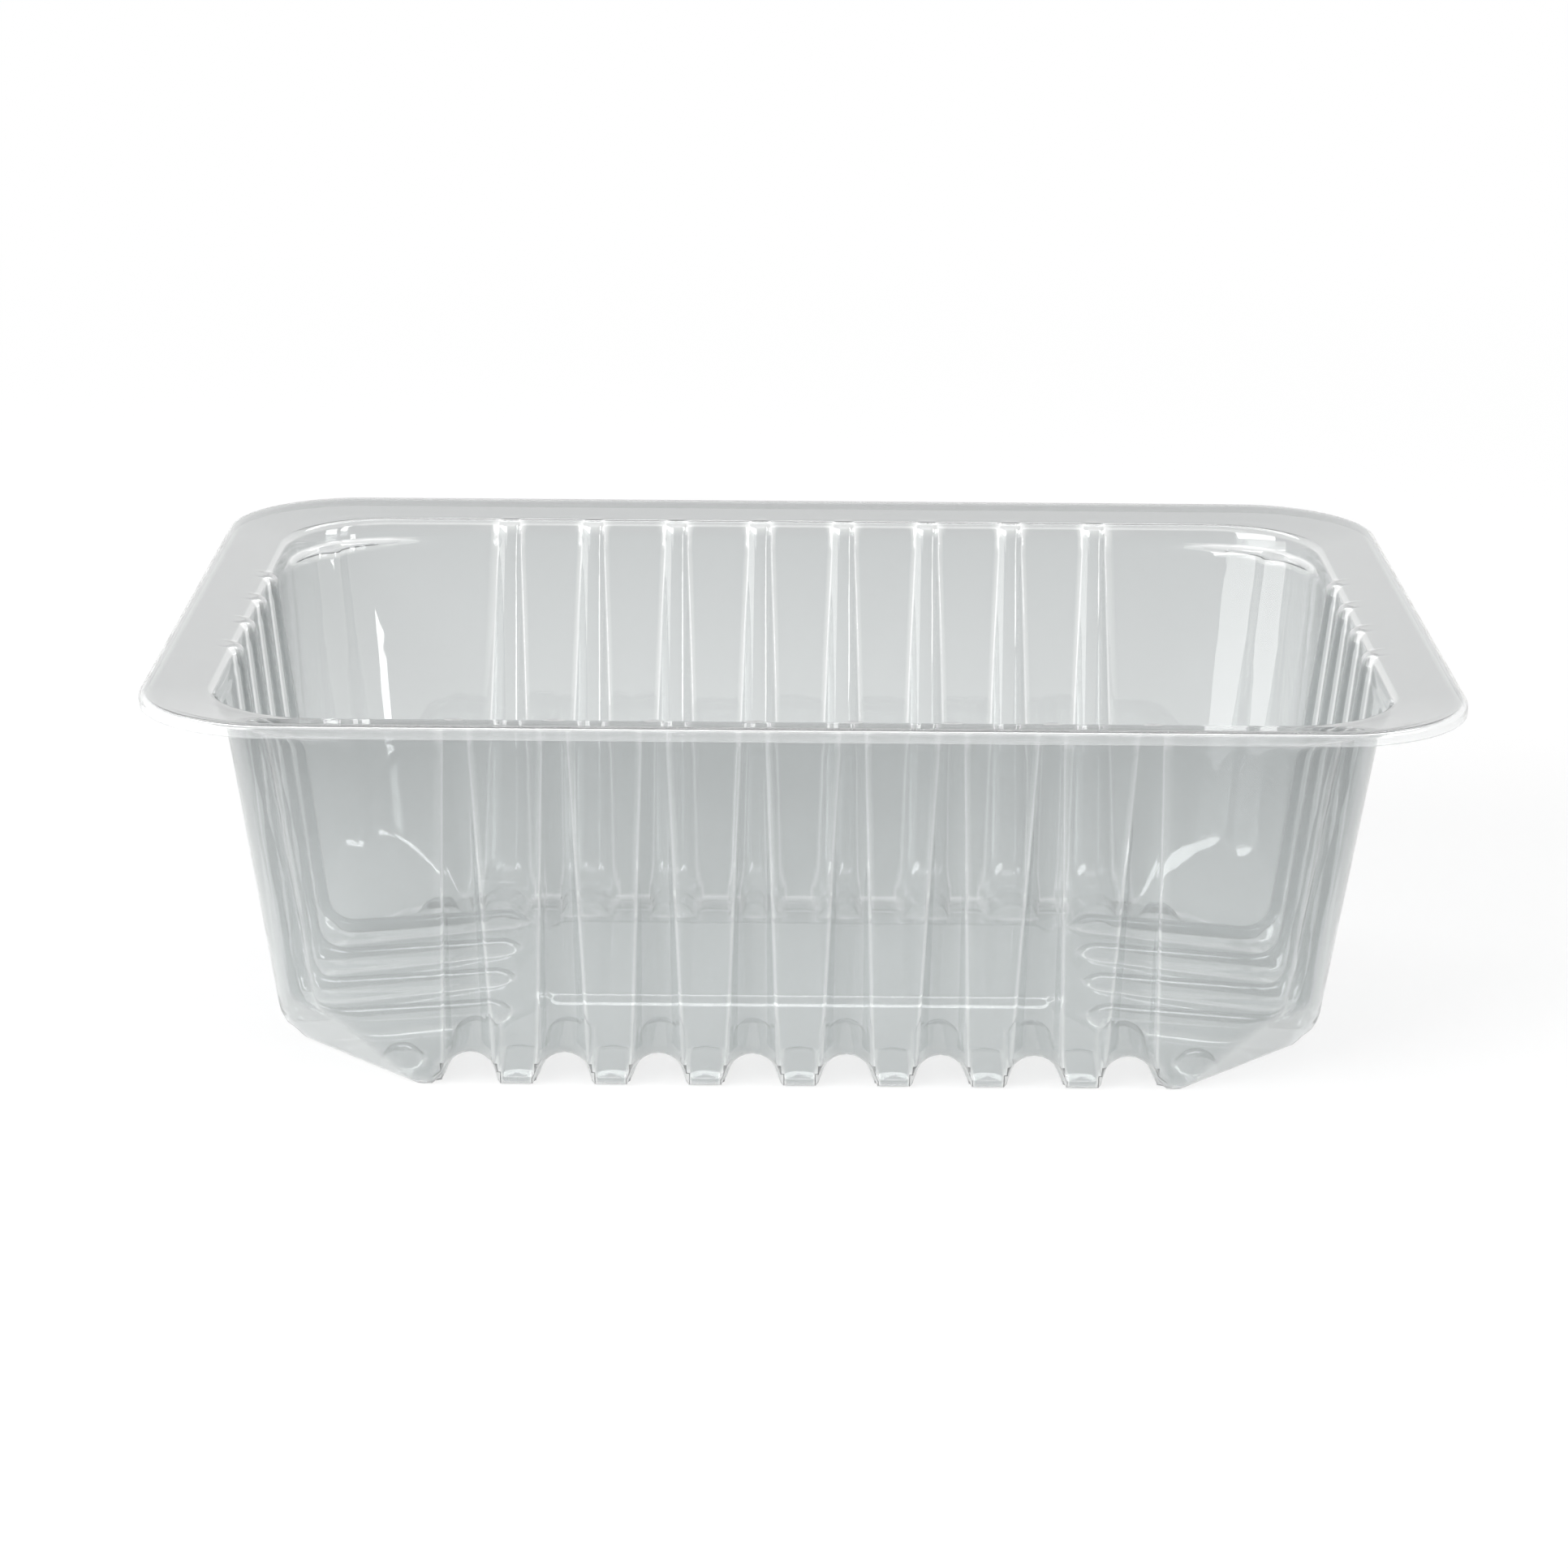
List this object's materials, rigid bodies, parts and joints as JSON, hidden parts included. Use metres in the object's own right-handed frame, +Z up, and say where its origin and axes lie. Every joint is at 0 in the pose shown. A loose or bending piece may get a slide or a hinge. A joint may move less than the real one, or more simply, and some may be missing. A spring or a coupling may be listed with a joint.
{
  "type": "plastic food tray",
  "caption": "Deep open rectangular tray of thin clear plastic with a sealing flange, drafted fluted walls, faceted corners and a raised ribbed floor.",
  "frame": {"origin": "on the table under the middle of the tray", "axes": "+X along the length, +Y across the width, +Z up out of the mouth"},
  "size_m": [0.187, 0.137, 0.0622],
  "materials": {
    "clear_plastic": "clear thermoformed sheet, glossy"
  },
  "bodies": {
    "root": {"tray_body": "clear_plastic"}
  },
  "joints": []
}
